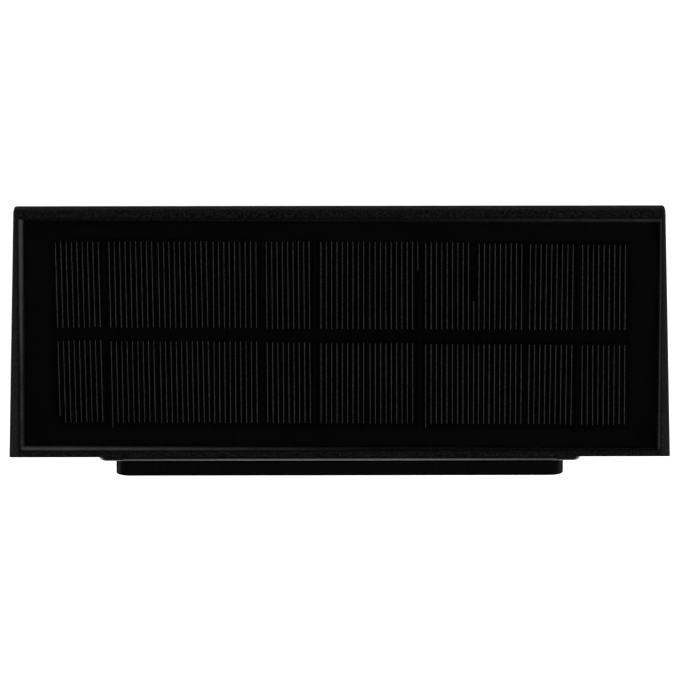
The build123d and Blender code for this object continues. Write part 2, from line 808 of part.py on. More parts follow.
with BuildPart() as battery_cradle:
    with BuildSketch(Plane.XZ.offset(-cover_y)):
        with Locations((0, battery_z)):
            Rectangle(cradle_length, cradle_base_height)
    extrude(amount=cradle_thickness)
    for clip in range(cradle_clip_count):
        clip_x = (clip - (cradle_clip_count - 1) / 2) * clip_pitch - cradle_clip_width / 2
        with BuildSketch(cradle_end.offset(clip_x)):
            Circle(cradle_ring + cradle_clip_wall)
            with Locations((-cradle_reach / 2, 0)):
                Rectangle(-cradle_reach, cradle_base_height / 2)
            Circle(cradle_ring, mode=Mode.SUBTRACT)
            with Locations((-cradle_ring, 0)):
                Rectangle(2 * cradle_ring, cradle_mouth, mode=Mode.SUBTRACT)
        extrude(amount=cradle_clip_width)
    with BuildSketch(Plane.XZ.offset(-cover_y)):
        with Locations((-cradle_screw_x, battery_z), (cradle_screw_x, battery_z)):
            Circle(small_screw_shank_radius + hole_gap)
    extrude(amount=cradle_thickness, mode=Mode.SUBTRACT)
battery_cradle.part.label = "battery_cradle"

cradle_screws = make_screws(
    Plane(origin=(0, cover_y - cradle_thickness, 0), x_dir=(1, 0, 0), z_dir=(0, -1, 0)),
    [(-cradle_screw_x, battery_z), (cradle_screw_x, battery_z)],
    small_screw_head_radius,
    small_screw_head_thickness,
    small_screw_shank_radius,
    small_screw_length - wall / 2,
)
cradle_screws.part.label = "cradle_screws"
export += [battery_cell, battery_cradle, cradle_screws]

tab_ends = {"positive": battery_length / 2, "negative": -battery_length / 2 - tab_thickness}
for name, tab_x in tab_ends.items():
    with BuildPart() as battery_tab:
        with BuildSketch(Plane.YZ.offset(tab_x)):
            with Locations((battery_y, battery_z - tab_height / 2 + terminal_radius)):
                RectangleRounded(tab_width, tab_height, tab_corner)
        extrude(amount=tab_thickness)
    battery_tab.part.label = f"battery_tab_{name}"
    export.append(battery_tab)

# Main board, over the push button
main_plane = Plane.XY.offset(floor_z + main_height)
main_top = main_plane.offset(main_thickness)

with BuildPart() as main_board:
    with BuildSketch(main_plane):
        with Locations((0, main_y)):
            Rectangle(main_width, main_length)
        with Locations(*post_places):
            Circle(small_screw_shank_radius + hole_gap, mode=Mode.SUBTRACT)
    extrude(amount=main_thickness)
main_board.part.label = "main_board"

board_screws = make_screws(
    main_top,
    post_places,
    small_screw_head_radius,
    small_screw_head_thickness,
    small_screw_shank_radius,
    small_screw_length,
)
board_screws.part.label = "board_screws"

with BuildPart() as charge_chip:
    with BuildSketch(main_top):
        with Locations((chip_x, main_y)):
            Rectangle(chip_width, chip_length)
    extrude(amount=chip_height)
    chamfer(charge_chip.faces().sort_by(Axis.Z)[-1].edges(), package_edge)
charge_chip.part.label = "charge_chip"

with BuildPart() as power_inductor:
    with BuildSketch(main_top):
        with Locations((inductor_x, main_y - socket_length / 2)):
            RectangleRounded(inductor_width, inductor_width, inductor_corner)
    extrude(amount=inductor_height)
    fillet(power_inductor.faces().sort_by(Axis.Z)[-1].edges(), package_edge)
power_inductor.part.label = "power_inductor"

with BuildPart() as storage_capacitor:
    with BuildSketch(main_top):
        with Locations((capacitor_x, main_y)):
            Circle(capacitor_radius)
    extrude(amount=capacitor_height)
    fillet(storage_capacitor.faces().sort_by(Axis.Z)[-1].edges(), package_edge)
storage_capacitor.part.label = "storage_capacitor"
export += [main_board, board_screws, charge_chip, power_inductor, storage_capacitor]

socket_y = main_y + main_length / 2 - socket_length / 2
socket_xs = {"panel": panel_socket_x, "battery": battery_socket_x, "led": led_socket_x}
for name, socket_x in socket_xs.items():
    with BuildPart() as socket:
        with BuildSketch(main_top):
            with Locations((socket_x, socket_y)):
                Rectangle(socket_width, socket_length)
        extrude(amount=socket_height)
        chamfer(socket.edges().filter_by(Axis.Z), package_edge)
    socket.part.label = f"{name}_connector"
    export.append(socket)

# Push button: its flange rests on the seal washer, its top touches the switch's plunger
flange_bottom = floor_z + seal_washer_thickness
flange_top = flange_bottom + button_flange_thickness
switch_bottom = floor_z + main_height - switch_height
plunger_top = switch_bottom + plunger_grip

with BuildPart() as switch_body:
    with BuildSketch(Plane.XY.offset(switch_bottom)):
        with Locations((0, button_y)):
            Rectangle(switch_width, switch_width)
    extrude(amount=switch_height)
    chamfer(switch_body.edges().filter_by(Axis.Z), package_edge)
    with BuildSketch(Plane.XY.offset(switch_bottom)):
        with Locations((0, button_y)):
            Circle(plunger_radius + plunger_bore_gap)
    extrude(amount=plunger_grip + button_travel + plunger_bore_gap, mode=Mode.SUBTRACT)
switch_body.part.label = "switch_body"

with BuildPart() as switch_plunger:
    with BuildSketch(Plane.XY.offset(flange_top)):
        with Locations((0, button_y)):
            Circle(plunger_radius)
    extrude(amount=plunger_top - flange_top)
switch_plunger.part.label = "switch_plunger"

with BuildPart() as power_button:
    with BuildSketch(Plane.XY.offset(bottom_z - button_proud)):
        with Locations((0, button_y)):
            Circle(button_radius)
    extrude(amount=flange_bottom - bottom_z + button_proud)
    fillet(power_button.faces().sort_by(Axis.Z)[0].edges(), button_edge)
    with BuildSketch(Plane.XY.offset(flange_bottom)):
        with Locations((0, button_y)):
            Circle(button_radius + button_flange)
    extrude(amount=button_flange_thickness)
power_button.part.label = "power_button"

with BuildPart() as button_seal:
    with BuildSketch(Plane.XY.offset(floor_z)):
        with Locations((0, button_y)):
            Circle(button_radius + button_flange)
            Circle(button_radius + seal_washer_gap, mode=Mode.SUBTRACT)
    extrude(amount=seal_washer_thickness)
button_seal.part.label = "button_seal"
export += [switch_body, switch_plunger, power_button, button_seal]

# Leads: insulated wires from socket to panel, battery tab and LED board
hole_top = top_plane.from_local_coords((lead_hole_x, lead_hole_v, sealant_bed - recess_depth))
tab_foot = battery_z + terminal_radius - tab_height
led_pad_plane = led_board_plane.offset(-led_board_thickness)
under_battery = battery_z - battery_radius
lead_low_z = socket_top + lead_low_share * (under_battery - socket_top)
lead_high_z = socket_top + lead_high_share * (under_battery - socket_top)


def make_lead(name, points):
    """A round wire along straight runs and bends, its ends square to what they meet."""
    with BuildPart() as lead:
        with BuildLine() as route:
            FilletPolyline(*points, radius=bend_radii(points))
        with BuildSketch(Plane(origin=points[0], z_dir=Vector(*points[1]) - Vector(*points[0]))):
            Circle(lead_radius)
        sweep(path=route.wires()[0])
    lead.part.label = name
    export.append(lead)


for sign, pole in ((1, "positive"), (-1, "negative")):
    step = sign * socket_pitch / 2
    start = Vector(hole_top.X + step, hole_top.Y, hole_top.Z)
    make_lead(
        f"panel_lead_{pole}",
        [
            tuple(start),
            tuple(start - top_plane.z_dir * lead_drop),
            (
                (hole_top.X + panel_socket_x) / 2 + step,
                battery_y + lead_rise + step,
                lead_high_z + step,
            ),
            (panel_socket_x + step, socket_y, socket_top + lead_rise),
            (panel_socket_x + step, socket_y, socket_top),
        ],
    )
    end_x = sign * (battery_length / 2 + tab_thickness)
    out_x = end_x + sign * lead_out
    make_lead(
        f"battery_lead_{pole}",
        [
            (end_x, battery_y, tab_foot + tab_corner),
            (out_x, battery_y, tab_foot + tab_corner),
            (out_x, battery_y + lead_out, lead_low_z),
            (battery_socket_x + step + sign * lead_drop, battery_y + lead_out, lead_low_z),
            (battery_socket_x + step, socket_y, socket_top + lead_rise),
            (battery_socket_x + step, socket_y, socket_top),
        ],
    )
    led_pad = led_pad_plane.from_local_coords((-led_pad_x + step, window_centre, 0))
    make_lead(
        f"led_lead_{pole}",
        [
            tuple(led_pad),
            tuple(led_pad - slant_plane.z_dir * lead_out),
            (-led_pad_x + step, battery_y - lead_clear, under_battery - lead_out / 2),
            ((led_socket_x - led_pad_x) / 2 + step, battery_y + step, lead_high_z + step),
            (led_socket_x + step, socket_y, socket_top + lead_rise),
            (led_socket_x + step, socket_y, socket_top),
        ],
    )

os.makedirs("parts", exist_ok=True)
for piece in export:
    export_step(piece.part, f"parts/{piece.part.label}.step")
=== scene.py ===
import bpy
import json
import math
from mathutils import Matrix, Vector


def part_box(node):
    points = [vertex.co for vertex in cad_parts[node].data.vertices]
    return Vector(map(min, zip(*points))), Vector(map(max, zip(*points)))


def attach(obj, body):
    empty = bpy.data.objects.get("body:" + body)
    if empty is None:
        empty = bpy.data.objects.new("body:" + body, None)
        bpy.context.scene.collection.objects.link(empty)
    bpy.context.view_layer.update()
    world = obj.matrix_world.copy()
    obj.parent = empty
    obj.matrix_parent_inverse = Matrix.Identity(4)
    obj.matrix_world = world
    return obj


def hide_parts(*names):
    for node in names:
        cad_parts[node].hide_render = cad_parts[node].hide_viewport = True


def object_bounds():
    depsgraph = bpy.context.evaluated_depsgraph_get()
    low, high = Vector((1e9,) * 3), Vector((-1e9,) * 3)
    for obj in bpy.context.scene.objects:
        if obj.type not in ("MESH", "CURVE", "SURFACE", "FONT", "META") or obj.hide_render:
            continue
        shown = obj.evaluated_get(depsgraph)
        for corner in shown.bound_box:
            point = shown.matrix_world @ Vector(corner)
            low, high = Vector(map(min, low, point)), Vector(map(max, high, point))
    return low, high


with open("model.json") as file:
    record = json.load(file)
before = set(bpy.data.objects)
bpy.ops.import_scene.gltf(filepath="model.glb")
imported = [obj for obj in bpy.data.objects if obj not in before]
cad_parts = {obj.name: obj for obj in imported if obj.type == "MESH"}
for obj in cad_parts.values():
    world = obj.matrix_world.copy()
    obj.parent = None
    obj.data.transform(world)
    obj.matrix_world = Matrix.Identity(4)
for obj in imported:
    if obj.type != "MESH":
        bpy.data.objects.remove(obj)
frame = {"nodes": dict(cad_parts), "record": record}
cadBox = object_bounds()
nodes = frame["nodes"]
mm = 0.001
white = (1, 1, 1)

# The camera looks down on the lamp's top, a little from the front; the wall is at the picture's foot
cameraSetup = {
    "place": (4.18 * mm, -364.48 * mm, 1343.3 * mm),
    "tilt": 13.82,  # degrees from straight down
    "turn": -0.18,
    "roll": -0.093,
    "lens": 258.32,
    "sensor": 36.0,
    "clip": (0.01, 50),
}


def makeCamera(setup):
    data = bpy.data.cameras.new("lampCamera")
    camera = bpy.data.objects.new("lampCamera", data)
    bpy.context.scene.collection.objects.link(camera)
    data.sensor_width = setup["sensor"]
    data.lens = setup["lens"]
    data.clip_start, data.clip_end = setup["clip"]
    tilt, turn, roll = (math.radians(setup[key]) for key in ("tilt", "turn", "roll"))
    turned = (
        Matrix.Rotation(tilt, 4, "X")
        @ Matrix.Rotation(math.pi, 4, "Z")
        @ Matrix.Rotation(turn, 4, "Y")
        @ Matrix.Rotation(roll, 4, "Z")
    )
    camera.matrix_world = Matrix.Translation(setup["place"]) @ turned
    bpy.context.scene.camera = camera


makeCamera(cameraSetup)
print("camera placed")


# Shader helpers
def newMaterial(name):
    material = bpy.data.materials.new(name)
    material.use_nodes = True
    tree = material.node_tree
    return material, tree, tree.nodes["Principled BSDF"]


def addNode(tree, kind, **values):
    node = tree.nodes.new(kind)
    for key, value in values.items():
        setattr(node, key, value)
    return node


def feed(tree, given, socket):
    # another node's output is joined, a colour or a number is typed in
    if isinstance(given, bpy.types.NodeSocket):
        tree.links.new(given, socket)
    elif isinstance(given, tuple):
        socket.default_value = (*given, 1)
    else:
        socket.default_value = given


def feedAll(tree, sockets, values):
    for name, given in values.items():
        feed(tree, given, sockets[name])


def objectPlace(tree):
    return addNode(tree, "ShaderNodeTexCoord").outputs["Object"]


def splitAxes(tree, vector):
    node = addNode(tree, "ShaderNodeSeparateXYZ")
    feed(tree, vector, node.inputs["Vector"])
    return node.outputs


def stretchPlace(tree, place, scale):
    node = addNode(tree, "ShaderNodeMapping")
    node.inputs["Scale"].default_value = scale
    feed(tree, place, node.inputs["Vector"])
    return node.outputs["Vector"]


def addNoise(tree, place, scale, detail, roughness):
    node = addNode(tree, "ShaderNodeTexNoise")
    feedAll(tree, node.inputs, {"Vector": place, "Scale": scale, "Detail": detail, "Roughness": roughness})
    return node.outputs["Fac"]


def remap(tree, value, low, high, toLow, toHigh):
    node = addNode(tree, "ShaderNodeMapRange", interpolation_type="SMOOTHSTEP")
    ends = {"From Min": low, "From Max": high, "To Min": toLow, "To Max": toHigh}
    feedAll(tree, node.inputs, {"Value": value, **ends})
    return node.outputs["Result"]


def calculate(tree, operation, *values):
    node = addNode(tree, "ShaderNodeMath", operation=operation)
    for socket, given in zip(node.inputs, values):
        feed(tree, given, socket)
    return node.outputs["Value"]


def mixColour(tree, factor, first, second):
    node = addNode(tree, "ShaderNodeMix", data_type="RGBA")
    sockets = {socket.identifier: socket for socket in node.inputs}
    feedAll(tree, sockets, {"Factor_Float": factor, "A_Color": first, "B_Color": second})
    return {socket.identifier: socket for socket in node.outputs}["Result_Color"]


def mixShaders(tree, factor, first, second):
    node = addNode(tree, "ShaderNodeMixShader")
    for socket, given in zip(node.inputs, (factor, first, second)):
        feed(tree, given, socket)
    return node.outputs["Shader"]


def addBump(tree, shader, height, strength, distance):
    node = addNode(tree, "ShaderNodeBump")
    feedAll(tree, node.inputs, {"Height": height, "Strength": strength, "Distance": distance})
    feed(tree, node.outputs["Normal"], shader.inputs["Normal"])


def newGroup(name, inputs, outputs):
    group = bpy.data.node_groups.new(name, "ShaderNodeTree")
    group.interface.new_socket(name="Place", in_out="INPUT", socket_type="NodeSocketVector")
    for label, value in inputs.items():
        socket = group.interface.new_socket(name=label, in_out="INPUT", socket_type="NodeSocketFloat")
        socket.default_value = value
    for label in outputs:
        group.interface.new_socket(name=label, in_out="OUTPUT", socket_type="NodeSocketFloat")
    given, made = addNode(group, "NodeGroupInput"), addNode(group, "NodeGroupOutput")
    return group, given.outputs, made.inputs


def useGroup(tree, group, **values):
    node = addNode(tree, "ShaderNodeGroup", node_tree=group)
    feedAll(tree, node.inputs, {"Place": objectPlace(tree), **values})
    return node.outputs


# Spark-eroded mould grain: small pits, with a slow change of tone and gloss. In this and the finishes
# below, a noise is given as detail and roughness, or scale, detail and roughness, and a range as the
# low and high that it spreads out and the low and high that they become.
grainSetup = {
    "scale": 2000.0, "coarser": 0.37, "cloudScale": 90.0,
    "pits": (3.0, 0.65), "coarse": (2.0, 0.5), "cloud": (3.0, 0.55),
    "pitHeight": (0.3, 0.7, 0.0, 0.7), "coarseHeight": (0.3, 0.7, 0.0, 0.3),
    "pitTone": (0.42, 0.7, 0.0, 1.0), "cloudTone": (0.35, 0.65, 0.0, 1.0),
}


def makeMouldGrain(setup):
    group, given, made = newGroup(
        "mouldGrain",
        {"Scale": setup["scale"], "Cloud Scale": setup["cloudScale"]},
        ("Height", "Grain", "Cloud"),
    )
    place, scale = given["Place"], given["Scale"]
    pits = addNoise(group, place, scale, *setup["pits"])
    coarseScale = calculate(group, "MULTIPLY", scale, setup["coarser"])
    coarse = addNoise(group, place, coarseScale, *setup["coarse"])
    cloud = addNoise(group, place, given["Cloud Scale"], *setup["cloud"])
    height = calculate(
        group, "ADD",
        remap(group, pits, *setup["pitHeight"]),
        remap(group, coarse, *setup["coarseHeight"]),
    )
    feedAll(group, made, {
        "Height": height,
        "Grain": remap(group, pits, *setup["pitTone"]),
        "Cloud": remap(group, cloud, *setup["cloudTone"]),
    })
    return group


# Faint rub marks, and dust that settles in patches
handlingSetup = {
    "scale": 60.0, "speckScale": 31.0, "rubStretch": (9.0, 1.0, 1.0),
    "patches": (5.0, 0.6), "specks": (2.0, 0.7), "rub": (4.0, 0.6),
    "patchShare": (0.45, 0.7, 0.0, 1.0), "speckShare": (0.55, 0.75, 0.2, 1.0),
    "rubShare": (0.4, 0.75, 0.0, 1.0),
}


def makeHandling(setup):
    group, given, made = newGroup("handling", {"Scale": setup["scale"]}, ("Dust", "Rub"))
    place, scale = given["Place"], given["Scale"]
    patches = addNoise(group, place, scale, *setup["patches"])
    speckScale = calculate(group, "MULTIPLY", scale, setup["speckScale"])
    specks = addNoise(group, place, speckScale, *setup["specks"])
    dust = calculate(
        group, "MULTIPLY",
        remap(group, patches, *setup["patchShare"]),
        remap(group, specks, *setup["speckShare"]),
    )
    rub = addNoise(group, stretchPlace(group, place, setup["rubStretch"]), scale, *setup["rub"])
    feedAll(group, made, {"Dust": dust, "Rub": remap(group, rub, *setup["rubShare"])})
    return group


# Fine turned or brushed lines on metal
toolLineSetup = {
    "scale": 900.0, "stretch": (1.0, 14.0, 6.0), "lines": (3.0, 0.6), "lineTone": (0.35, 0.65, 0.0, 1.0),
}


def makeToolLines(setup):
    group, given, made = newGroup("toolLines", {"Scale": setup["scale"]}, ("Height", "Lines"))
    place = stretchPlace(group, given["Place"], setup["stretch"])
    lines = addNoise(group, place, given["Scale"], *setup["lines"])
    feedAll(group, made, {"Height": lines, "Lines": remap(group, lines, *setup["lineTone"])})
    return group


mouldGrain = makeMouldGrain(grainSetup)
handling = makeHandling(handlingSetup)
toolLines = makeToolLines(toolLineSetup)


def grey(tone):
    return tone, tone, tone


# Moulded and coated finishes; each setup holds what differs from the usual values
usualPlastic = {"dustAmount": 0.05, "rub": 0.05, "specular": 0.5}
plasticSetups = {
    "textured_black_plastic": {
        "dark": grey(0.0015), "light": grey(0.0115), "dust": (0.03, 0.03, 0.029),
        "grainScale": 2100.0, "smooth": 0.3, "rough": 0.4, "specular": 0.04,
        "bump": 0.8, "depth": 0.00014, "steepRough": 1.0,
        # painted highlight on the housing's two ends, mixed towards the dust colour
        "endSheen": {"from": 89.3 * mm, "to": 91.0 * mm, "amount": 0.19},
    },
    "satin_black_plastic": {
        "dark": grey(0.004), "light": grey(0.008), "dust": (0.05, 0.05, 0.048),
        "grainScale": 3200.0, "smooth": 0.1, "rough": 0.17, "rub": 0.06, "specular": 0.3,
        "bump": 0.3, "depth": 0.00003, "steepRough": 0.6,
        "topGloss": {"from": 15 * mm, "to": 66 * mm, "least": 0.4, "roughness": 0.08, "index": 3.0},
    },
    "bracket_black_plastic": {
        "dark": grey(0.0016), "light": grey(0.0026), "dust": grey(0.02), "dustAmount": 0.03,
        "grainScale": 2600.0, "smooth": 0.2, "rough": 0.28, "specular": 0.04,
        "bump": 0.15, "depth": 0.00002, "steepRough": 1.0,
    },
    "cradle_black_plastic": {
        "dark": grey(0.008), "light": grey(0.016), "dust": grey(0.05), "dustAmount": 0.03,
        "grainScale": 2400.0, "smooth": 0.35, "rough": 0.45, "bump": 0.3, "depth": 0.00004,
    },
    "silicone_grey": {
        "dark": (0.24, 0.24, 0.245), "light": (0.3, 0.3, 0.305), "dust": (0.4, 0.4, 0.38),
        "dustAmount": 0.1, "grainScale": 1500.0, "smooth": 0.5, "rough": 0.62, "specular": 0.4,
        "bump": 0.3, "depth": 0.00004,
    },
    "white_plastic": {
        "dark": (0.72, 0.72, 0.70), "light": (0.78, 0.78, 0.76), "dust": (0.5, 0.5, 0.47),
        "dustAmount": 0.04, "grainScale": 1700.0, "smooth": 0.2, "rough": 0.3, "rub": 0.06,
        "bump": 0.12, "depth": 0.00003,
    },
    "led_board_white": {
        "dark": grey(0.7), "light": grey(0.78), "dust": grey(0.5),
        "grainScale": 1300.0, "smooth": 0.25, "rough": 0.35, "bump": 0.12, "depth": 0.00002,
    },
    "circuit_board": {
        "dark": (0.008, 0.11, 0.04), "light": (0.015, 0.17, 0.065), "dust": (0.2, 0.22, 0.2),
        "grainScale": 520.0, "smooth": 0.22, "rough": 0.34, "bump": 0.15, "depth": 0.00003,
    },
    "chip_epoxy": {
        "dark": grey(0.012), "light": grey(0.022), "dust": grey(0.1),
        "grainScale": 5200.0, "smooth": 0.45, "rough": 0.6, "specular": 0.4,
        "bump": 0.3, "depth": 0.00002,
    },
    "ferrite": {
        "dark": (0.03, 0.03, 0.031), "light": (0.06, 0.06, 0.062), "dust": grey(0.1),
        "grainScale": 2600.0, "smooth": 0.4, "rough": 0.6, "bump": 0.4, "depth": 0.00005,
    },
    "socket_ivory": {
        "dark": (0.62, 0.57, 0.43), "light": (0.7, 0.65, 0.5), "dust": (0.4, 0.38, 0.3),
        "dustAmount": 0.06, "grainScale": 2100.0, "smooth": 0.32, "rough": 0.45,
        "bump": 0.2, "depth": 0.00003,
    },
    "switch_black": {
        "dark": grey(0.01), "light": grey(0.018), "dust": grey(0.08), "dustAmount": 0.04,
        "grainScale": 3300.0, "smooth": 0.35, "rough": 0.5, "bump": 0.2, "depth": 0.00002,
    },
    "button_rubber": {
        "dark": grey(0.008), "light": grey(0.014), "dust": (0.08, 0.08, 0.075), "dustAmount": 0.1,
        "grainScale": 2300.0, "smooth": 0.55, "rough": 0.7, "rub": 0.08, "specular": 0.35,
        "bump": 0.35, "depth": 0.00004,
    },
    "wire_red": {
        "dark": (0.32, 0.008, 0.008), "light": (0.42, 0.014, 0.012), "dust": (0.3, 0.1, 0.1),
        "grainScale": 1600.0, "smooth": 0.28, "rough": 0.4, "bump": 0.15, "depth": 0.00003,
    },
    "wire_black": {
        "dark": grey(0.01), "light": grey(0.018), "dust": grey(0.1),
        "grainScale": 1600.0, "smooth": 0.28, "rough": 0.4, "bump": 0.15, "depth": 0.00003,
    },
    "battery_sleeve": {
        "dark": (0.012, 0.1, 0.32), "light": (0.02, 0.14, 0.4), "dust": (0.3, 0.33, 0.38),
        "dustAmount": 0.04, "grainScale": 240.0, "smooth": 0.16, "rough": 0.24,
        "bump": 0.2, "depth": 0.00008,
    },
    "panel_board": {
        "dark": (0.0035, 0.0035, 0.0036), "light": (0.0045, 0.0045, 0.0047), "dust": grey(0.01),
        "dustAmount": 0.02, "grainScale": 900.0, "smooth": 0.3, "rough": 0.4, "rub": 0.03,
        "specular": 0.0, "bump": 0.1, "depth": 0.00002,
    },
    "busbar_ribbon": {
        "dark": grey(0.0026), "light": grey(0.0036), "dust": grey(0.01), "dustAmount": 0.02,
        "grainScale": 1400.0, "smooth": 0.4, "rough": 0.5, "rub": 0.03, "specular": 0.0,
        "bump": 0.2, "depth": 0.00002,
    },
    "led_phosphor": {
        "dark": (0.7, 0.52, 0.1), "light": (0.82, 0.66, 0.2), "dust": (0.7, 0.65, 0.4),
        "grainScale": 3500.0, "smooth": 0.3, "rough": 0.45, "bump": 0.2, "depth": 0.00002,
    },
}
# how far up a face points, from 0 on a wall to 1 on a level face, where a change starts and is done
upwardSteps = {"steepRough": (0.35, 0.8), "topGloss": (0.5, 0.7)}


def outwardPlace(tree):
    # the distance from the lamp's middle towards its ends
    return calculate(tree, "ABSOLUTE", splitAxes(tree, objectPlace(tree))["X"])


def upwardFacing(tree):
    normal = addNode(tree, "ShaderNodeTexCoord").outputs["Normal"]
    return calculate(tree, "ABSOLUTE", splitAxes(tree, normal)["Z"])


def mouldedPlastic(name, setup):
    material, tree, shader = newMaterial(name)
    grain = useGroup(tree, mouldGrain, Scale=setup["grainScale"])
    marks = useGroup(tree, handling)
    tone = mixColour(tree, grain["Grain"], setup["dark"], setup["light"])
    dustAndEndSheen = calculate(tree, "MULTIPLY", marks["Dust"], setup["dustAmount"])
    if "endSheen" in setup:  # painted highlight: the two ends are made paler, for light on their rounded edges
        ends = setup["endSheen"]
        paintedEndSheen = remap(tree, outwardPlace(tree), ends["from"], ends["to"], 0.0, ends["amount"])
        dustAndEndSheen = calculate(tree, "ADD", dustAndEndSheen, paintedEndSheen)
    rough = calculate(
        tree, "ADD",
        remap(tree, grain["Cloud"], 0.0, 1.0, setup["smooth"], setup["rough"]),
        calculate(tree, "MULTIPLY", marks["Rub"], setup["rub"]),
    )
    if "steepRough" in setup:  # the mould was etched harder on its walls
        steep = remap(tree, upwardFacing(tree), *upwardSteps["steepRough"], setup["steepRough"], 0.0)
        rough = calculate(tree, "MAXIMUM", rough, steep)
    if "topGloss" in setup:  # what faces up is polished, most of all in the middle
        gloss = setup["topGloss"]
        level = remap(tree, outwardPlace(tree), gloss["from"], gloss["to"], 1.0, gloss["least"])
        upper = remap(tree, upwardFacing(tree), *upwardSteps["topGloss"], 0.0, 1.0)
        feedAll(tree, shader.inputs, {
            "Coat Weight": calculate(tree, "MULTIPLY", level, upper),
            "Coat Roughness": gloss["roughness"],
            "Coat IOR": gloss["index"],
        })
    feedAll(tree, shader.inputs, {
        # real dust, and on the housing's ends a painted highlight, both mixed towards the dust colour
        "Base Color": mixColour(tree, dustAndEndSheen, tone, setup["dust"]),
        "Roughness": rough,
        "Specular IOR Level": setup["specular"],
    })
    addBump(tree, shader, grain["Height"], setup["bump"], setup["depth"])
    return material


# Plated and machined metal
usualMetal = {"markScale": 110.0, "dustRough": 0.2, "depth": 0.00002}
metalSetups = {
    "screw_steel": {
        "dark": (0.36, 0.36, 0.37), "light": (0.52, 0.52, 0.53), "lineScale": 1500.0,
        "smooth": 0.22, "rough": 0.36, "bump": 0.3,
    },
    "nickel": {
        "dark": (0.5, 0.49, 0.46), "light": (0.62, 0.6, 0.57), "lineScale": 1100.0,
        "smooth": 0.2, "rough": 0.32, "bump": 0.25,
    },
    "capacitor_can": {
        "dark": (0.55, 0.55, 0.57), "light": (0.66, 0.66, 0.68), "lineScale": 1300.0,
        "smooth": 0.2, "rough": 0.3, "bump": 0.25,
    },
}


def metal(name, setup):
    material, tree, shader = newMaterial(name)
    lines = useGroup(tree, toolLines, Scale=setup["lineScale"])
    marks = useGroup(tree, handling, Scale=setup["markScale"])
    rough = calculate(
        tree, "ADD",
        remap(tree, lines["Lines"], 0.0, 1.0, setup["smooth"], setup["rough"]),
        calculate(tree, "MULTIPLY", marks["Dust"], setup["dustRough"]),
    )
    feedAll(tree, shader.inputs, {
        "Base Color": mixColour(tree, lines["Lines"], setup["dark"], setup["light"]),
        "Roughness": rough,
        "Metallic": 1.0,
    })
    addBump(tree, shader, lines["Height"], setup["bump"], setup["depth"])
    return material


# Black silicon: a near-flat dark blue-black with faint cloudiness
cellFinish = {
    "dark": (0.0016, 0.0016, 0.0018), "light": (0.0022, 0.0022, 0.0026), "specular": 0.0,
    "cloud": (150.0, 4.0, 0.55), "texture": (6000.0, 2.0, 0.6),
    "cloudTone": (0.35, 0.65, 0.0, 1.0), "cloudRough": (0.3, 0.7, 0.3, 0.38),
    "bump": 0.1, "depth": 0.00001,
}


def siliconCell(setup):
    material, tree, shader = newMaterial("silicon_cell")
    cloud = addNoise(tree, objectPlace(tree), *setup["cloud"])
    texture = addNoise(tree, objectPlace(tree), *setup["texture"])
    tone = remap(tree, cloud, *setup["cloudTone"])
    feedAll(tree, shader.inputs, {
        "Base Color": mixColour(tree, tone, setup["dark"], setup["light"]),
        "Roughness": remap(tree, cloud, *setup["cloudRough"]),
        "Specular IOR Level": setup["specular"],
    })
    addBump(tree, shader, texture, setup["bump"], setup["depth"])
    return material


# Poured clear resin over the cells, with a slight orange peel
resinFinish = {
    "colour": (0.96, 0.97, 0.98), "transmission": 1.0, "index": 1.47,
    "peel": (130.0, 2.0, 0.4), "fine": (900.0, 3.0, 0.6), "fineRough": (0.3, 0.7, 0.0, 0.025),
    "bump": 0.03, "depth": 0.0001,
}


def clearEpoxy(setup):
    material, tree, shader = newMaterial("panel_laminate")
    peel = addNoise(tree, objectPlace(tree), *setup["peel"])
    fine = addNoise(tree, objectPlace(tree), *setup["fine"])
    feedAll(tree, shader.inputs, {
        "Base Color": setup["colour"],
        "Roughness": remap(tree, fine, *setup["fineRough"]),
        "Transmission Weight": setup["transmission"],
        "IOR": setup["index"],
    })
    addBump(tree, shader, peel, setup["bump"], setup["depth"])
    return material


# Cured black sealant; its paler tone is a painted highlight, laid in strokes along the joint
sealantFinish = {
    "dark": grey(0.003), "highlightTone": grey(0.034), "specular": 0.07,
    "lumps": (260.0, 3.0, 0.5), "fine": (1500.0, 2.0, 0.6),
    "lumpHighlight": (0.3, 0.7, 0.75, 1.15), "fineRough": (0.3, 0.7, 0.24, 0.34),
    "bump": 0.3, "depth": 0.00012,
}


def glossySealant(setup):
    material, tree, shader = newMaterial("panel_sealant")
    lumps = addNoise(tree, objectPlace(tree), *setup["lumps"])
    fine = addNoise(tree, objectPlace(tree), *setup["fine"])
    paintedHighlight = addNode(tree, "ShaderNodeAttribute", attribute_name="paintedHighlight").outputs["Fac"]
    # painted highlight: the paler tone is mixed in where the strokes lie, broken up by the lumps
    haze = calculate(tree, "MULTIPLY", paintedHighlight, remap(tree, lumps, *setup["lumpHighlight"]))
    feedAll(tree, shader.inputs, {
        "Base Color": mixColour(tree, haze, setup["dark"], setup["highlightTone"]),
        "Roughness": remap(tree, fine, *setup["fineRough"]),
        "Specular IOR Level": setup["specular"],
    })
    addBump(tree, shader, lumps, setup["bump"], setup["depth"])
    return material


# Frosted polycarbonate: a milky body with a blasted outer skin
lensFinish = {
    "dark": (0.8, 0.82, 0.82), "light": (0.84, 0.86, 0.86), "transmission": 0.15, "index": 1.58,
    "frost": (3800.0, 3.0, 0.6), "haze": (120.0, 3.0, 0.5), "hazeRough": (0.3, 0.7, 0.3, 0.36),
    "bump": 0.08, "depth": 0.00002,
}


def frostedLens(setup):
    material, tree, shader = newMaterial("frosted_lens")
    frost = addNoise(tree, objectPlace(tree), *setup["frost"])
    haze = addNoise(tree, objectPlace(tree), *setup["haze"])
    feedAll(tree, shader.inputs, {
        "Base Color": mixColour(tree, haze, setup["dark"], setup["light"]),
        "Roughness": remap(tree, haze, *setup["hazeRough"]),
        "Transmission Weight": setup["transmission"],
        "IOR": setup["index"],
    })
    addBump(tree, shader, frost, setup["bump"], setup["depth"])
    return material


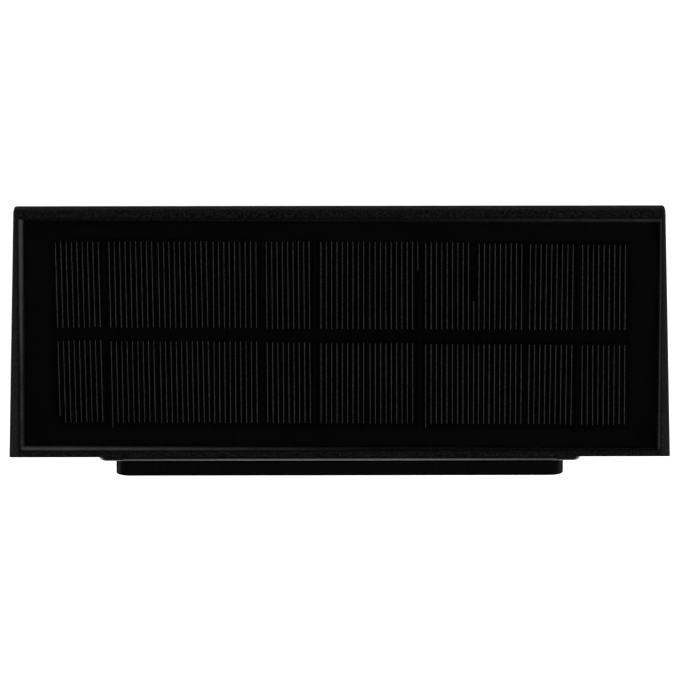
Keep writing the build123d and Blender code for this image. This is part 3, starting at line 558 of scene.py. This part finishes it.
materials = {
    "silicon_cell": siliconCell(cellFinish),
    "panel_laminate": clearEpoxy(resinFinish),
    "panel_sealant": glossySealant(sealantFinish),
    "frosted_lens": frostedLens(lensFinish),
}
for finish, finishSetup in plasticSetups.items():
    materials[finish] = mouldedPlastic(finish, {**usualPlastic, **finishSetup})
for finish, finishSetup in metalSetups.items():
    materials[finish] = metal(finish, {**usualMetal, **finishSetup})

for part in frame["record"]["subparts"]:
    slots = nodes[part["node"]].data.materials
    slots.clear()
    slots.append(materials[part["material_slot"]])
print("finishes on", len(nodes), "CAD nodes")

# The housing's top slopes up towards the wall. The recess matrix stands in the middle of the panel's
# recess, with z square to the top, and the panel's own matrix adds that it was laid a little askew.
panelSetup = {
    "topSlope": 6.0,
    "recessWidth": 179.8 * mm,
    "recessLength": 66.0 * mm,
    "recessCorner": 0.8 * mm,
    "recessCentre": -34.5 * mm,  # along the slope from the top's back edge
    "panelWidth": 177.1 * mm,
    "panelLength": 63.6 * mm,
    "panelShift": -0.45 * mm,
    "panelTurn": -0.35,
    "cellTop": 1.25 * mm,        # depths under the housing's top
    "resinTop": 0.6 * mm,
    "resinBottom": 1.55 * mm,    # the resin wets the board, so the cells lie inside it
}
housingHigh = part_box("housing")[1]
topTurn = Matrix.Rotation(math.radians(panelSetup["topSlope"]), 4, "X")
topNormal = topTurn @ Vector((0, 0, 1))
recessMatrix = (
    Matrix.Translation((0, housingHigh.y, housingHigh.z))
    @ topTurn
    @ Matrix.Translation((0, panelSetup["recessCentre"], 0))
)
panelMatrix = (
    recessMatrix
    @ Matrix.Translation((panelSetup["panelShift"], 0, 0))
    @ Matrix.Rotation(math.radians(panelSetup["panelTurn"]), 4, "Z")
)


# Modelling helpers
def deselect():
    if bpy.context.mode != "OBJECT":
        bpy.ops.object.mode_set(mode="OBJECT")
    bpy.ops.object.select_all(action="DESELECT")


def pick(piece):
    deselect()
    piece.select_set(True)
    bpy.context.view_layer.objects.active = piece


def applyModifier(piece, kind, name, **values):
    pick(piece)
    modifier = piece.modifiers.new(name, kind)
    for key, value in values.items():
        setattr(modifier, key, value)
    bpy.ops.object.modifier_apply(modifier=name)


def smooth(piece, degrees):
    pick(piece)
    bpy.ops.object.shade_smooth_by_angle(angle=math.radians(degrees))


def settle(piece, matrix):
    # moves the mesh itself by the matrix and leaves the object at the origin
    pick(piece)
    piece.matrix_world = matrix @ piece.matrix_world
    bpy.ops.object.transform_apply(location=True, rotation=True, scale=True)


def joinPieces(parts, name):
    deselect()
    for part in parts:
        part.select_set(True)
    bpy.context.view_layer.objects.active = parts[0]
    bpy.ops.object.join()
    parts[0].name = name
    parts[0].data.name = name
    return parts[0]


def finishPiece(piece, material, body):
    piece.data.materials.clear()
    piece.data.materials.append(material)
    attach(piece, body)


def copyPiece(piece):
    copy = piece.copy()
    copy.data = piece.data.copy()
    bpy.context.scene.collection.objects.link(copy)
    return copy


def addBox(name, low, high):
    deselect()
    centre = (Vector(low) + Vector(high)) / 2
    size = Vector(high) - Vector(low)
    bpy.ops.mesh.primitive_cube_add(size=1, location=centre, scale=size)
    piece = bpy.context.active_object
    piece.name = name
    bpy.ops.object.transform_apply(location=True, rotation=True, scale=True)
    return piece


# Clear resin over the cells
resinSetup = {"edge": 0.22 * mm, "edgeSteps": 4, "smoothAngle": 35}


def makeClearResin(setup, panel):
    halfWidth, halfLength = panel["panelWidth"] / 2, panel["panelLength"] / 2
    resin = addBox(
        "clearResin",
        (-halfWidth, -halfLength, -panel["resinBottom"]),
        (halfWidth, halfLength, -panel["resinTop"]),
    )
    applyModifier(
        resin, "BEVEL", "softEdge",
        width=setup["edge"], segments=setup["edgeSteps"], limit_method="ANGLE",
    )
    smooth(resin, setup["smoothAngle"])
    settle(resin, panelMatrix)
    finishPiece(resin, materials["panel_laminate"], "lamp")
    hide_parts("solar_laminate")


makeClearResin(resinSetup, panelSetup)
print("resin poured")

# Screen-printed silver fingers, nine to a cell strip on each side of the busbar; the strips and the
# fingers in them are counted from the lamp's +X end
fingerSetup = {
    "pitch": 1.49 * mm, "count": 9, "width": 0.1 * mm, "height": 0.024 * mm,
    "round": 0.009 * mm, "roundSteps": 2,
    "stripPitch": 14.72 * mm, "shift": -0.25 * mm,
    "front": (-26.2 * mm, -1.65 * mm), "back": (1.65 * mm, 25.1 * mm),
    # each strip was laid by hand: sideways shift in mm, lean in degrees, shifts of its ends in mm
    "shifts": (0.63, 0.73, -0.28, 0.07, 0.21, 0.57, -0.48, 0.4, 0.49, -0.05, 0),
    "leans": (1.43, 1.2, 1.2, 0.61, 0.7, 0.3, 0.46, 0.35, 0.21, -0.16, 0.36),
    "frontStarts": (0.59, 0.31, 0.31, 0.31, 0.17, 0.17, 0.17, 0.22, 0.42, 0.53, 0.7),
    "frontEnds": (0, 0, 0, 0, 0.14, 0.31, 0.31, 0.52, 0.52, 0.48, 0.56),
    "backStarts": (0.34, 0.5, 0.5, 0.5, 0.7, 0.84, 0.84, 0.97, 0.97, 1.02, 1.06),
    "backEnds": (0, 0, 0, 0, 0, 0, 0, 0, 0, 0, 0),
    # single fingers that differ, and tenth ones: (strip, finger, side) and shifts of both ends in mm
    "odd": {
        (0, 0, "back"): (0, -1.9), (1, 0, "back"): (0, 1.4), (7, 0, "back"): (0, 1.0),
        (2, 9, "front"): (0, 0), (2, 9, "back"): (0, 0), (6, 9, "front"): (0, -16.7),
        (7, 9, "front"): (16.5, 0), (7, 9, "back"): (0, 0),
    },
}
# Fired silver paste: grey, matt and a little broken up
silverFinish = {
    "dark": grey(0.065), "light": grey(0.135), "specular": 0.2, "grains": (2400.0, 3.0, 0.6),
    "grainTone": (0.35, 0.65, 0.0, 1.0), "grainRough": (0.3, 0.7, 0.5, 0.65),
    "bump": 0.2, "depth": 0.00001,
}


def printedSilver(setup):
    material, tree, shader = newMaterial("printedSilver")
    grains = addNoise(tree, objectPlace(tree), *setup["grains"])
    tone = remap(tree, grains, *setup["grainTone"])
    feedAll(tree, shader.inputs, {
        "Base Color": mixColour(tree, tone, setup["dark"], setup["light"]),
        "Roughness": remap(tree, grains, *setup["grainRough"]),
        "Specular IOR Level": setup["specular"],
    })
    addBump(tree, shader, grains, setup["bump"], setup["depth"])
    return material


def makeFinger(setup):
    # one finger of unit length, the top edges of its printed section rounded over
    half = Vector((setup["width"], 1, setup["height"])) / 2
    finger = addBox("finger", -half, half)
    deselect()
    for edge in finger.data.edges:
        first, second = (finger.data.vertices[index].co for index in edge.vertices)
        edge.select = min(first.z, second.z) > 0 and abs(first.y - second.y) > half.y
    pick(finger)
    bpy.ops.object.mode_set(mode="EDIT")
    bpy.ops.mesh.select_mode(type="EDGE")
    bpy.ops.mesh.bevel(offset=setup["round"], segments=setup["roundSteps"])
    bpy.ops.object.mode_set(mode="OBJECT")
    return finger


def printStrip(setup, model, strip, depth):
    # copies the finger along one cell strip, on both sides of the busbar
    count = setup["count"]
    fingers = []
    for side in ("front", "back"):
        low = setup[side][0] + setup[side + "Starts"][strip] * mm
        high = setup[side][1] + setup[side + "Ends"][strip] * mm
        for number in range(count + 1):
            odd = setup["odd"].get((strip, number, side))
            if number == count and odd is None:
                continue
            start, end = odd or (0, 0)
            length = high + end * mm - low - start * mm
            finger = copyPiece(model)
            finger.location = (
                ((count - 1) / 2 - number) * setup["pitch"],
                low + start * mm + length / 2,
                -depth,
            )
            finger.scale.y = length
            fingers.append(finger)
    return joinPieces(fingers, "stripFingers")


def makeFingers(setup, panel):
    model = makeFinger(setup)
    strips = []
    stripCount = len(setup["shifts"])
    for number, (shift, lean) in enumerate(zip(setup["shifts"], setup["leans"])):
        strip = printStrip(setup, model, number, panel["cellTop"])
        middle = ((stripCount - 1) / 2 - number) * setup["stripPitch"] - setup["shift"] - shift * mm
        turned = Matrix.Rotation(math.radians(lean), 4, "Z")
        settle(strip, panelMatrix @ Matrix.Translation((middle, 0, 0)) @ turned)
        strips.append(strip)
    bpy.data.objects.remove(model)
    fingers = joinPieces(strips, "cellFingers")
    finishPiece(fingers, printedSilver(silverFinish), "lamp")


makeFingers(fingerSetup, panelSetup)
print("fingers printed")

# Sealant bead: a ring with a hollow, shiny skin between the recess wall and the panel
beadSetup = {
    "rows": 8, "sideCuts": 60, "cornerSteps": 5, "inset": 0.4 * mm, "overlap": 0.02 * mm,
    "outerDepth": 0.55 * mm, "innerDepth": 0.75 * mm, "middleDepth": 0.5 * mm, "bottom": 2.5 * mm,
    "waver": 0.16 * mm, "waverSize": 9 * mm, "waverDetail": 2, "rootHeight": 0.3 * mm,
    "smoothAngle": 50,
    # painted highlight strokes: their side, run along it, strength at both ends, place and spread across
    # the bead
    "longHighlights": (
        {"side": "back", "from": -0.1, "to": 0.85, "start": 0.03, "end": 1.15, "across": 0.5,
         "spread": 0.26},
        {"side": "front", "from": -0.2, "to": -0.9, "start": 0.0, "end": 0.5, "across": 0.55,
         "spread": 0.16},
    ),
    "endHighlights": (
        {"side": "plus", "from": -0.95, "to": 0.4, "start": 2.1, "end": 0.6, "across": 0.5,
         "spread": 0.22},
        {"side": "minus", "from": -0.9, "to": 0.9, "start": 2.2, "end": 1.6, "across": 0.3,
         "spread": 0.16},
    ),
}


def paintedHighlightAt(strokes, x, y, share):
    # strength of the painted highlight at a place along the ring (x and y from -1 to 1) and across it
    total = 0
    for stroke in strokes:
        place = x if stroke["side"] in ("front", "back") else y
        here = {"front": y < 0, "back": y > 0, "plus": x > 0, "minus": x < 0}[stroke["side"]]
        if here:
            low, high = stroke["from"], stroke["to"]
            run = min(max((place - low) / (high - low), 0), 1)
            strength = stroke["start"] + (stroke["end"] - stroke["start"]) * run
            offset = (share - stroke["across"]) / stroke["spread"]
            total = max(total, strength * math.exp(-(offset ** 2)))
    return total


def makeRing(setup, half, corner):
    # a rounded outline, evenly divided, with rows of faces along its edge and an open middle
    deselect()
    bpy.ops.mesh.primitive_plane_add(size=1)
    ring = bpy.context.active_object
    ring.name = "sealantBead"
    ring.scale = (2 * half.x, 2 * half.y, 1)
    bpy.ops.object.transform_apply(location=True, rotation=True, scale=True)
    bpy.ops.object.mode_set(mode="EDIT")
    bpy.ops.mesh.select_all(action="SELECT")
    bpy.ops.mesh.bevel(offset=corner, segments=setup["cornerSteps"], affect="VERTICES")
    bpy.ops.mesh.delete(type="ONLY_FACE")
    bpy.ops.object.mode_set(mode="OBJECT")
    for edge in ring.data.edges:
        first, second = (ring.data.vertices[index].co for index in edge.vertices)
        edge.select = (first - second).length > 2 * corner
    bpy.ops.object.mode_set(mode="EDIT")
    bpy.ops.mesh.select_mode(type="EDGE")
    bpy.ops.mesh.subdivide(number_cuts=setup["sideCuts"])
    bpy.ops.mesh.select_all(action="SELECT")
    bpy.ops.mesh.edge_face_add()
    bpy.ops.mesh.select_mode(type="FACE")
    bpy.ops.mesh.select_all(action="SELECT")
    for _ in range(setup["rows"]):
        bpy.ops.mesh.inset(thickness=setup["inset"] / setup["rows"], depth=0)
    bpy.ops.mesh.select_all(action="DESELECT")
    bpy.ops.object.mode_set(mode="OBJECT")
    for face in ring.data.polygons:
        face.select = face.loop_total > 4  # the one large face in the middle
    bpy.ops.object.mode_set(mode="EDIT")
    bpy.ops.mesh.delete(type="FACE")
    bpy.ops.object.mode_set(mode="OBJECT")
    return ring


def laySkin(bead, setup, wallHalf, boardHalf, corner):
    # spreads the ring from the recess wall to the panel's edge, and notes where its highlight is painted
    paintedHighlight = bead.data.attributes.new("paintedHighlight", "FLOAT", "POINT")
    for vertex in bead.data.vertices:
        x, y = vertex.co.x, vertex.co.y
        over = Vector((abs(x) - wallHalf.x + corner, abs(y) - wallHalf.y + corner))
        rounded = Vector((max(over.x, 0), max(over.y, 0))).length
        inward = corner - rounded - min(max(over.x, over.y), 0)
        share = min(max(inward / setup["inset"], 0), 1)  # 0 at the recess wall, 1 at the panel
        across = x / (wallHalf.x - share * setup["inset"])
        along = y / (wallHalf.y - share * setup["inset"])
        wall = recessMatrix @ Vector((across * wallHalf.x, along * wallHalf.y, 0))
        board = panelMatrix @ Vector((across * boardHalf.x, along * boardHalf.y, 0))
        edgeDepth = setup["outerDepth"] * (1 - share) + setup["innerDepth"] * share
        depth = edgeDepth + (setup["middleDepth"] - edgeDepth) * 4 * share * (1 - share)
        vertex.co = wall.lerp(board, share) - topNormal * depth
        # the painted highlight strokes of the ring's ends or of its long sides
        strokes = setup["endHighlights"] if over.x > over.y else setup["longHighlights"]
        paintedHighlight.data[vertex.index].value = paintedHighlightAt(strokes, x / wallHalf.x, y / wallHalf.y, share)


def sinkRoot(bead, setup):
    # closes the skin downwards, with a flat bottom inside the joint
    toRecess = recessMatrix.inverted()
    pick(bead)
    bpy.ops.object.mode_set(mode="EDIT")
    bpy.ops.mesh.select_all(action="SELECT")
    bpy.ops.mesh.extrude_region_move()
    bpy.ops.object.mode_set(mode="OBJECT")
    for vertex in bead.data.vertices:
        if vertex.select:
            local = toRecess @ vertex.co
            vertex.co = recessMatrix @ Vector((local.x, local.y, -setup["bottom"]))
    pick(bead)
    bpy.ops.object.mode_set(mode="EDIT")
    bpy.ops.mesh.select_all(action="SELECT")
    bpy.ops.mesh.normals_make_consistent(inside=False)
    bpy.ops.object.mode_set(mode="OBJECT")


def waverSkin(bead, setup):
    # the skin rises and falls a little along the joint, the root stays
    toRecess = recessMatrix.inverted()
    rootTop = setup["rootHeight"] - setup["bottom"]
    skin = [v.index for v in bead.data.vertices if (toRecess @ v.co).z > rootTop]
    bead.vertex_groups.new(name="skin").add(skin, 1.0, "REPLACE")
    texture = bpy.data.textures.new("sealantWaver", "CLOUDS")
    texture.noise_scale = setup["waverSize"]
    texture.noise_depth = setup["waverDetail"]
    applyModifier(
        bead, "DISPLACE", "waver", texture=texture, texture_coords="LOCAL", direction="Z",
        strength=setup["waver"], mid_level=0.5, vertex_group="skin",
    )


def makeSealant(setup, panel):
    overlap = Vector((setup["overlap"], setup["overlap"]))
    wallHalf = (Vector((panel["recessWidth"], panel["recessLength"])) + overlap) / 2
    boardHalf = (Vector((panel["panelWidth"], panel["panelLength"])) - overlap) / 2
    bead = makeRing(setup, wallHalf, panel["recessCorner"])
    laySkin(bead, setup, wallHalf, boardHalf, panel["recessCorner"])
    sinkRoot(bead, setup)
    waverSkin(bead, setup)
    smooth(bead, setup["smoothAngle"])
    finishPiece(bead, materials["panel_sealant"], "lamp")
    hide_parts("panel_glue")


makeSealant(beadSetup, panelSetup)
print("sealant bead laid")

# Floor, world and lights
studio = {
    "floorDrop": 0.3 * mm,
    "floorSize": 6.0,
    "floorColour": grey(0.82),
    "floorRough": 0.9,
    "floorGlow": 0.5,
    "backdrop": 1.0,  # what the camera sees behind the lamp
    "ambient": 0.32,
    "horizon": 0.8,   # the sky that gloss and clear resin show, darker towards the zenith
    "zenith": 0.004,
    "zenithFrom": 0.4,
    "aim": (0, -40 * mm, 0),
}
lightSetups = {
    "sideSoftbox": {"place": (-0.75, -0.15, 0.5), "size": (0.5, 0.7), "power": 6.0},
    "backStrip": {"place": (0.05, 0.69, 0.73), "size": (0.9, 0.25), "power": 6.8},
    "leftFill": {"place": (0.8, -0.25, 0.55), "size": (0.5, 0.5), "power": 3.5},
    "frontFill": {"place": (0.1, -0.9, 0.15), "size": (0.8, 0.4), "power": 1.2},
}


def mirroredRays(tree):
    rays = addNode(tree, "ShaderNodeLightPath").outputs
    return calculate(tree, "MAXIMUM", rays["Is Glossy Ray"], rays["Is Transmission Ray"])


def cameraRays(tree):
    return addNode(tree, "ShaderNodeLightPath").outputs["Is Camera Ray"]


def makeFloor(setup):
    deselect()
    bottom = cadBox[0].z - setup["floorDrop"]
    bpy.ops.mesh.primitive_plane_add(size=setup["floorSize"], location=(0, 0, bottom))
    floor = bpy.context.active_object
    floor.name = "studioFloor"
    material, tree, shader = newMaterial("floorPaint")
    seen = calculate(tree, "MAXIMUM", cameraRays(tree), mirroredRays(tree))
    feedAll(tree, shader.inputs, {
        "Base Color": setup["floorColour"],
        "Roughness": setup["floorRough"],
        "Specular IOR Level": 0.0,
        "Emission Color": white,
        "Emission Strength": calculate(tree, "MULTIPLY", seen, setup["floorGlow"]),
    })
    # seen from beneath, the floor lets the underside show
    beneath = addNode(tree, "ShaderNodeNewGeometry").outputs["Backfacing"]
    clear = addNode(tree, "ShaderNodeBsdfTransparent").outputs["BSDF"]
    surface = mixShaders(tree, beneath, shader.outputs["BSDF"], clear)
    feed(tree, surface, tree.nodes["Material Output"].inputs["Surface"])
    floor.data.materials.append(material)


def addBackground(tree, strength):
    node = addNode(tree, "ShaderNodeBackground")
    feedAll(tree, node.inputs, {"Color": white, "Strength": strength})
    return node.outputs["Background"]


def makeWorld(setup):
    world = bpy.data.worlds.new("studioWorld")
    bpy.context.scene.world = world
    world.use_nodes = True
    tree = world.node_tree
    tree.nodes.clear()
    height = splitAxes(tree, addNode(tree, "ShaderNodeTexCoord").outputs["Generated"])["Z"]
    skyGlow = remap(tree, height, 0.0, setup["zenithFrom"], setup["horizon"], setup["zenith"])
    soft, sky = addBackground(tree, setup["ambient"]), addBackground(tree, skyGlow)
    unseen = mixShaders(tree, mirroredRays(tree), soft, sky)
    surface = mixShaders(tree, cameraRays(tree), unseen, addBackground(tree, setup["backdrop"]))
    feed(tree, surface, addNode(tree, "ShaderNodeOutputWorld").inputs["Surface"])


def makeLight(name, setup, aim):
    data = bpy.data.lights.new(name, "AREA")
    data.shape = "RECTANGLE"
    data.size, data.size_y = setup["size"]
    data.energy = setup["power"]
    light = bpy.data.objects.new(name, data)
    bpy.context.scene.collection.objects.link(light)
    light.location = setup["place"]
    light.rotation_euler = (Vector(aim) - light.location).to_track_quat("-Z", "Y").to_euler()
    light.visible_glossy = False  # the resin would show it as a hard white square


makeFloor(studio)
makeWorld(studio)
for lightName, lightSetup in lightSetups.items():
    makeLight(lightName, lightSetup, studio["aim"])
bpy.context.scene.view_settings.view_transform = "Standard"
print("studio lit")
